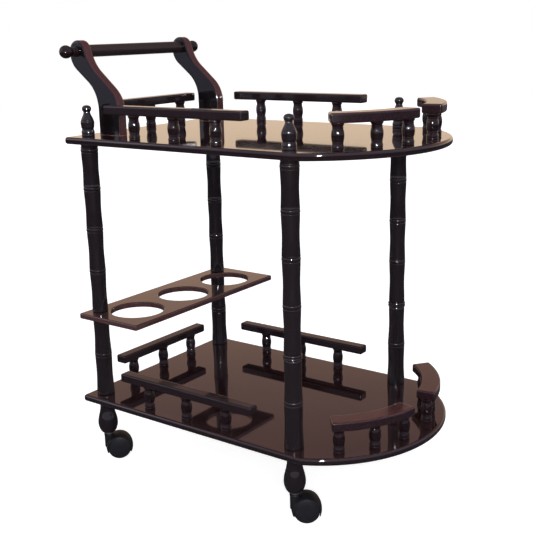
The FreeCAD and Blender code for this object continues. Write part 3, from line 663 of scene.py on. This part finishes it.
spindleSettings = {
    "radius": 9.8, "steps": 4, "segments": 40,
    "rows": (
        (0.86, 0.0, True), (0.93, 0.012, False), (0.95, 0.05, True), (0.89, 0.065, True),
        (0.90, 0.08, True), (0.955, 0.10, False), (0.94, 0.15, False), (0.87, 0.21, False),
        (0.82, 0.245, True), (0.86, 0.258, True), (0.90, 0.275, False), (0.875, 0.297, True),
        (0.86, 0.31, True), (0.92, 0.36, False), (0.975, 0.44, False), (1.0, 0.53, False),
        (0.985, 0.62, False), (0.93, 0.70, False), (0.865, 0.755, False), (0.82, 0.785, True),
        (0.86, 0.797, True), (0.885, 0.815, False), (0.86, 0.835, True), (0.80, 0.847, True),
        (0.82, 0.87, False), (0.90, 0.905, False), (0.975, 0.94, False), (0.99, 0.97, False),
        (0.96, 1.0, True),
    ),
}


def makeSpindles(s):
    for tier, shelf in (("top", "top_shelf"), ("bottom", "bottom_shelf")):
        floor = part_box(shelf)[1].z
        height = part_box(tier + "_rail_front")[0].z - floor
        rows = [(radius * s["radius"] * mm, share * height, crisp) for radius, share, crisp in s["rows"]]
        line = smoothLine(rows, s["steps"])
        for kind in ("straight", "curved"):
            node = tier + "_spindles_" + kind
            places = [Matrix.Translation((spot.x, spot.y, floor)) for spot in solidMiddles(node)]
            name = camelName(tier + "Spindles", kind)
            mesh = turnedMesh(name, line, places, s["segments"])
            newPiece(name, mesh, lacquer["spindleLacquer"], "cart", [node], 50.0)
            print(name, len(places))


makeSpindles(spindleSettings)


# Push bar and its ball knobs

barSettings = {"radius": 10.8, "ease": 0.6, "segments": 64, "stretches": 40}
knobSettings = {
    "steps": 5, "segments": 48,
    "rows": (  # millimetres: radius, distance from the bracket
        (8.4, 0.0, True), (9.1, 0.5, False), (9.3, 1.8, False), (9.0, 3.1, False), (8.0, 3.9, True),
        (6.9, 4.2, True), (6.7, 5.4, False), (7.0, 6.6, True), (7.9, 7.0, True), (8.3, 8.0, False),
        (7.9, 9.0, True), (6.7, 9.6, False), (6.5, 11.2, False), (6.9, 12.6, False), (8.0, 14.6, True),
        (9.9, 17.2, False), (11.1, 20.4, False), (11.3, 22.6, False), (11.0, 25.6, False),
        (9.8, 28.9, False), (7.6, 31.6, False), (4.6, 33.2, False), (1.6, 33.85, False),
        (0.1, 33.92, True),
    ),
}


def makeBar(s):
    middle = middleOf("handle_bar")
    start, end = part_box("handle_bracket_front")[1].y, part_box("handle_bracket_rear")[0].y
    radius, ease = s["radius"] * mm, s["ease"] * mm
    straight = end - start - 2 * ease
    stretches = s["stretches"]
    line = [(radius - ease, start), (radius, start + ease)]
    line += [(radius, start + ease + straight * step / stretches) for step in range(1, stretches)]
    line += [(radius, end - ease), (radius - ease, end)]
    turn = Matrix.Translation((middle.x, 0, middle.z)) @ Matrix.Rotation(-math.pi / 2, 4, "X")
    mesh = turnedMesh("pushBar", line, [turn], s["segments"])
    newPiece("pushBar", mesh, lacquer["barLacquer"], "cart", ["handle_bar"])


def makeKnobs(s):
    middle = middleOf("handle_bar")
    faces = (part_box("handle_bracket_front")[0].y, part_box("handle_bracket_rear")[1].y)
    places = []
    for y, outward in zip(faces, (math.pi / 2, -math.pi / 2)):
        places.append(Matrix.Translation((middle.x, y, middle.z)) @ Matrix.Rotation(outward, 4, "X"))
    rows = [(radius * mm, height * mm, crisp) for radius, height, crisp in s["rows"]]
    mesh = turnedMesh("barKnobs", smoothLine(rows, s["steps"]), places, s["segments"])
    newPiece("barKnobs", mesh, lacquer["spindleLacquer"], "cart", ["handle_knobs"], 50.0)


makeBar(barSettings)
makeKnobs(knobSettings)
print("push bar and knobs turned")


# Screws up into the brackets, with a cross recess in each head

screwSettings = {
    "headRadius": 4.0, "headHeight": 2.6, "shank": 2.0, "segments": 32,
    "slotLength": 4.6, "slotWidth": 1.0, "slotDepth": 1.5,
}


def makeScrews(s):
    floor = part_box("handle_screws")[0].z
    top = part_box("handle_screws")[1].z
    places = [Matrix.Translation((spot.x, spot.y, floor)) for spot in solidMiddles("handle_screws")]
    length = (top - floor) / mm
    rows = [(s["headRadius"] - 0.3, 0.0), (s["headRadius"], 0.3), (s["shank"], s["headHeight"])]
    rows += [(s["shank"], length - 2.0), (0.6, length)]
    line = [(radius * mm, height * mm) for radius, height in rows]
    mesh = turnedMesh("handleScrews", line, places, s["segments"])
    piece = newPiece("handleScrews", mesh, steel["brightSteel"], "cart", ["handle_screws"])
    recess = bmesh.new()
    for place in places:
        for long, wide in ((s["slotLength"], s["slotWidth"]), (s["slotWidth"], s["slotLength"])):
            size = Matrix.Diagonal((long * mm, wide * mm, 2 * s["slotDepth"] * mm, 1))
            bmesh.ops.create_cube(recess, size=1.0, matrix=place @ size)
    cutterMesh = bpy.data.meshes.new("screwRecess")
    recess.to_mesh(cutterMesh)
    recess.free()
    cutter = bpy.data.objects.new("screwRecess", cutterMesh)
    bpy.context.scene.collection.objects.link(cutter)
    cut = piece.modifiers.new("crossRecess", "BOOLEAN")
    cut.object = cutter
    cut.operation = "DIFFERENCE"
    cut.solver = "EXACT"
    cut.use_self = True
    bpy.context.view_layer.update()
    finished = bpy.data.meshes.new_from_object(piece.evaluated_get(bpy.context.evaluated_depsgraph_get()))
    piece.modifiers.clear()
    piece.data = finished
    bpy.data.objects.remove(cutter)


makeScrews(screwSettings)
print("screws made")


# Casters

hoodSettings = {
    "wheelRadius": 21.5, "gap": 1.2, "wall": 2.5, "crown": 2.3, "halfWidth": 18.1, "dropAngle": 19.0,
    "flat": 13.0,  # inner side is flat up to here from the middle, then closes in
    "lip": 2.0, "web": 8.0, "bossRadius": 8.5, "bossTop": 47.2, "bossSegments": 40,
    "turns": 64, "rows": 14, "edgeRound": 0.5,
}
wheelSettings = {
    "start": 4.5, "segments": 72, "steps": 3,
    "rows": (  # millimetres: radius, distance from the wheel's inner side
        (3.4, 0.5, True), (5.6, 0.5, True), (6.2, 0.0, True), (17.2, 0.0, True), (18.2, 0.05, True),
        (19.6, 0.5, False), (20.9, 1.7, False), (21.5, 3.5, True), (21.5, 4.9, True),
        (21.15, 5.15, True), (21.15, 5.55, True), (21.5, 5.8, True), (21.5, 7.4, True),
        (21.15, 7.65, True), (21.15, 8.05, True), (21.5, 8.3, True), (21.5, 8.6, True),
        (20.9, 10.4, False), (19.7, 11.6, False), (18.3, 12.0, True), (17.7, 12.05, True),
        (17.45, 11.7, True), (16.9, 11.7, True), (16.6, 12.2, True), (15.2, 12.5, False),
        (11.0, 12.78, False), (6.0, 12.95, False), (2.6, 13.0, True), (2.4, 12.85, True),
        (0.1, 12.85, True),
    ),
}


def hoodSection(s):
    # section of the shell across both wheels, as (across, radius), once round
    outerRadius = s["wheelRadius"] + s["gap"] + s["wall"]
    innerRadius = s["wheelRadius"] + s["gap"]
    half = s["halfWidth"]
    outer = []
    for row in range(s["rows"] + 1):
        across = -half + 2 * half * row / s["rows"]
        outer.append((across, outerRadius - s["crown"] * (across / half) ** 2))
    inner = [(half, innerRadius - s["lip"]), (s["flat"], innerRadius)]
    inner += [(-s["flat"], innerRadius), (-half, innerRadius - s["lip"])]
    return outer + inner


def addHoodShell(mesh, s, place):
    section = hoodSection(s)
    drop = math.radians(s["dropAngle"])
    slices = []
    for turn in range(s["turns"] + 1):
        angle = -drop + (math.pi + 2 * drop) * turn / s["turns"]
        ring = []
        for across, radius in section:
            spot = Vector((math.cos(angle) * radius, across, math.sin(angle) * radius)) * mm
            ring.append(mesh.verts.new(place @ spot))
        slices.append(ring)
    count = len(section)
    for before, after in zip(slices, slices[1:]):
        for step in range(count):
            beside = (step + 1) % count
            mesh.faces.new((before[step], before[beside], after[beside], after[step]))
    mesh.faces.new(slices[0][::-1])
    mesh.faces.new(slices[-1])


def addHoodWeb(mesh, s, place):
    radius = s["wheelRadius"] + s["gap"] + s["wall"] / 2
    drop = math.radians(s["dropAngle"])
    turns = s["turns"] // 2
    sides = []
    for across in (-s["web"] / 2, s["web"] / 2):
        ring = []
        for turn in range(turns + 1):
            angle = -drop + (math.pi + 2 * drop) * turn / turns
            spot = Vector((math.cos(angle) * radius, across, math.sin(angle) * radius)) * mm
            ring.append(mesh.verts.new(place @ spot))
        sides.append(ring)
    for step in range(turns + 1):
        beside = (step + 1) % (turns + 1)
        mesh.faces.new((sides[0][step], sides[0][beside], sides[1][beside], sides[1][step]))
    mesh.faces.new(sides[0][::-1])
    mesh.faces.new(sides[1])


def hoodMesh(name, s, axis, axle, heading):
    mesh = bmesh.new()
    place = Matrix.Translation(axle) @ Matrix.Rotation(heading, 4, "Z")
    addHoodShell(mesh, s, place)
    addHoodWeb(mesh, s, place)
    bmesh.ops.recalc_face_normals(mesh, faces=mesh.faces)
    sharp = [edge for edge in mesh.edges if edge.calc_face_angle(0) > math.radians(35)]
    bmesh.ops.bevel(
        mesh, geom=sharp, offset=s["edgeRound"] * mm, segments=3, profile=0.5,
        affect="EDGES", clamp_overlap=True,
    )
    boss = s["bossRadius"]
    top = s["bossTop"]
    rows = [(boss, axle.z / mm, True), (boss, top - 2.4, True), (boss + 0.5, top - 2.1, False)]
    rows += [(boss + 0.5, top - 0.7, False), (boss - 0.2, top, True)]
    line = smoothLine([(radius * mm, height * mm, crisp) for radius, height, crisp in rows], 3)
    shaft = turnedMesh("hoodBoss", line, [Matrix.Translation((axis.x, axis.y, 0))], s["bossSegments"])
    mesh.from_mesh(shaft)
    bpy.data.meshes.remove(shaft)
    data = bpy.data.meshes.new(name)
    mesh.to_mesh(data)
    mesh.free()
    return data


def makeCasters(hood, wheel):
    rows = [(radius * mm, height * mm, crisp) for radius, height, crisp in wheel["rows"]]
    wheelLine = smoothLine(rows, wheel["steps"])
    for label in legPlaces:
        axis = middleOf("foot_" + label)
        axle = middleOf("caster_axle_" + label)
        heading = math.atan2(axle.y - axis.y, axle.x - axis.x)
        name = camelName("casterHood", label)
        mesh = hoodMesh(name, hood, axis, axle, heading)
        body, node = "caster_" + label, "caster_hood_" + label
        newPiece(name, mesh, plastic["hoodPlastic"], body, [node], 30.0)
        for side, letter in ((-1, "a"), (1, "b")):
            body, node = "wheel_" + label + "_" + letter, "caster_wheel_" + label + "_" + letter
            turn = Matrix.Rotation(heading, 4, "Z") @ Matrix.Rotation(-side * math.pi / 2, 4, "X")
            place = Matrix.Translation(axle) @ turn @ Matrix.Translation((0, 0, wheel["start"] * mm))
            name = camelName("casterWheel", label + "_" + letter)
            mesh = turnedMesh(name, wheelLine, [place], wheel["segments"])
            newPiece(name, mesh, plastic["wheelPlastic"], body, [node], 35.0)


makeCasters(hoodSettings, wheelSettings)
print("casters made")


# Finish of the pieces that are shown as they come from the frame

longRails = tuple(tier + "_rail_" + side for tier in ("top", "bottom") for side in ("front", "rear"))
finishes = {
    "boardLacquer": ("top_shelf", "bottom_shelf"),
    "rackLacquer": ("bottle_rack",),
    "crossRailLacquer": ("top_rail_end", "bottom_rail_end"),
    "bracketLacquer": ("handle_bracket_front", "handle_bracket_rear"),
    "sideRailLacquer": longRails,
    "curvedRailLacquer": tuple(rail + "_curved" for rail in longRails),
    "brightSteel": ("leg_studs", "caster_stems") + tuple("caster_axle_" + label for label in legPlaces),
    "platedSteel": ("caster_sockets",),
}


def finishNodes(table):
    every = {**lacquer, **plastic, **steel}
    for name, nodes in table.items():
        for node in nodes:
            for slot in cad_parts[node].material_slots:
                slot.link = "OBJECT"
                slot.material = every[name]


finishNodes(finishes)
print("shelves, rails and steel finished")


# Studio: pale floor, soft light, bright wall behind the cart

floorSettings = {
    "radius": 9.0, "rings": 24, "segments": 96, "color": (0.55, 0.55, 0.56, 1),
    "glowNear": 0.88, "glowFar": 1.0, "fadeStart": 0.7, "fadeEnd": 2.4,  # metres from the middle of the cart
    "mirrored": (0.10, 0.10, 0.11, 1),
}
roomSettings = {
    "behind": (-0.595, 0.804, 0.0),  # direction from the camera through the cart
    "wall": (
        (0.0, (0.86, 0.66, 0.49, 1)), (0.16, (0.80, 0.60, 0.43, 1)), (0.27, (0.56, 0.36, 0.27, 1)),
        (0.38, (0.41, 0.25, 0.215, 1)), (0.5, (0.27, 0.17, 0.16, 1)), (1.0, (0.14, 0.14, 0.16, 1)),
    ),
    "front": (0.48, 0.49, 0.62, 1),
}
# a light without diffuse only glints, and one without glossy isn't mirrored;
# bounces is how often its light may be passed on
lightSettings = {
    "overheadSoftbox": {
        "place": (0.2, -0.5, 2.3), "aim": (0.0, 0.0, 0.4), "size": (1.5, 1.1), "power": 12.0,
        "glossy": False,
    },
    "sideSoftbox": {
        "place": (-1.9, -1.5, 1.5), "aim": (0.0, 0.0, 0.5), "size": (0.7, 1.4), "power": 2.4,
    },
    "frontFill": {
        "place": (1.7, -2.1, 1.1), "aim": (0.0, 0.0, 0.4), "size": (1.2, 1.0), "power": 34.0,
        "glossy": False,
    },
    "flash": {
        "place": (0.98, -1.28, 0.90), "aim": (0.0, 0.0, 0.35), "size": (0.08, 0.06), "power": 60.0,
        "diffuse": False, "bounces": 0,
    },
}


def makeFloor(s):
    mesh = bmesh.new()
    turns = [math.tau * step / s["segments"] for step in range(s["segments"])]
    rings = [[mesh.verts.new((0, 0, 0))]]
    for ring in range(1, s["rings"] + 1):
        radius = s["radius"] * ring / s["rings"]
        spots = [(radius * math.cos(turn), radius * math.sin(turn), 0) for turn in turns]
        rings.append([mesh.verts.new(spot) for spot in spots])
    for step in range(s["segments"]):
        after = (step + 1) % s["segments"]
        mesh.faces.new((rings[0][0], rings[1][step], rings[1][after]))
        for inner, outer in zip(rings[1:], rings[2:]):
            mesh.faces.new((inner[step], outer[step], outer[after], inner[after]))
    data = bpy.data.meshes.new("studioFloor")
    mesh.to_mesh(data)
    mesh.free()
    floor = bpy.data.objects.new("studioFloor", data)
    bpy.context.scene.collection.objects.link(floor)
    material, tree, shader = newMaterial("paleFloor")
    path = addNode(tree, "LightPath")
    place = addNode(tree, "TexCoord").outputs["Object"]
    mottle = spread(tree, noise(tree, place, 3.0, 4.0), 0.3, 0.7, 0.97, 1.0)
    shade = blendColor(tree, 1.0, s["color"], grayOf(tree, mottle), "MULTIPLY")
    color = blendColor(tree, path.outputs["Is Glossy Ray"], shade, s["mirrored"])
    tree.links.new(color, shader.inputs["Base Color"])
    away = addNode(tree, "VectorMath", {0: place}, operation="LENGTH").outputs["Value"]
    bright = spread(tree, away, s["fadeStart"], s["fadeEnd"], s["glowNear"], s["glowFar"], "SMOOTHSTEP")
    glow = times(tree, bright, path.outputs["Is Camera Ray"])
    tree.links.new(grayOf(tree, glow), shader.inputs["Emission Color"])
    shader.inputs["Emission Strength"].default_value = 1.0
    shader.inputs["Roughness"].default_value = 0.9
    shader.inputs["Specular IOR Level"].default_value = 0.0
    data.materials.append(material)


def makeRoom(s):
    world = bpy.data.worlds.new("studioRoom")
    bpy.context.scene.world = world
    world.use_nodes = True
    tree = world.node_tree
    tree.nodes.clear()
    direction = addNode(tree, "TexCoord").outputs["Generated"]
    facing = dotOf(tree, direction, s["behind"])
    upward = addNode(tree, "SeparateXYZ", {0: direction}).outputs["Z"]
    wall = addNode(tree, "ValToRGB", {"Fac": upward})
    stops = wall.color_ramp.elements
    for index, (height, color) in enumerate(s["wall"]):
        stop = stops[index] if index < 2 else stops.new(height)
        stop.position, stop.color = height, color
    ahead = spread(tree, facing, 0.05, 0.6, ease="SMOOTHSTEP")
    room = blendColor(tree, ahead, s["front"], wall.outputs["Color"])
    seen = blendColor(tree, addNode(tree, "LightPath").outputs["Is Camera Ray"], room, (1, 1, 1, 1))
    background = addNode(tree, "Background", {"Color": seen, "Strength": 1.0})
    addNode(tree, "OutputWorld", {"Surface": background.outputs[0]})


def makeLights(table):
    for name, s in table.items():
        data = bpy.data.lights.new(name, "AREA")
        data.shape = "RECTANGLE"
        data.size, data.size_y = s["size"]
        data.energy = s["power"]
        light = bpy.data.objects.new(name, data)
        light.visible_diffuse = s.get("diffuse", True)
        light.visible_glossy = s.get("glossy", True)
        data.cycles.max_bounces = s.get("bounces", 1024)
        light.location = s["place"]
        light.rotation_euler = (Vector(s["aim"]) - Vector(s["place"])).to_track_quat("-Z", "Y").to_euler()
        bpy.context.scene.collection.objects.link(light)


makeFloor(floorSettings)
makeRoom(roomSettings)
makeLights(lightSettings)
bpy.context.scene.view_settings.view_transform = "Standard"
print("studio lit")
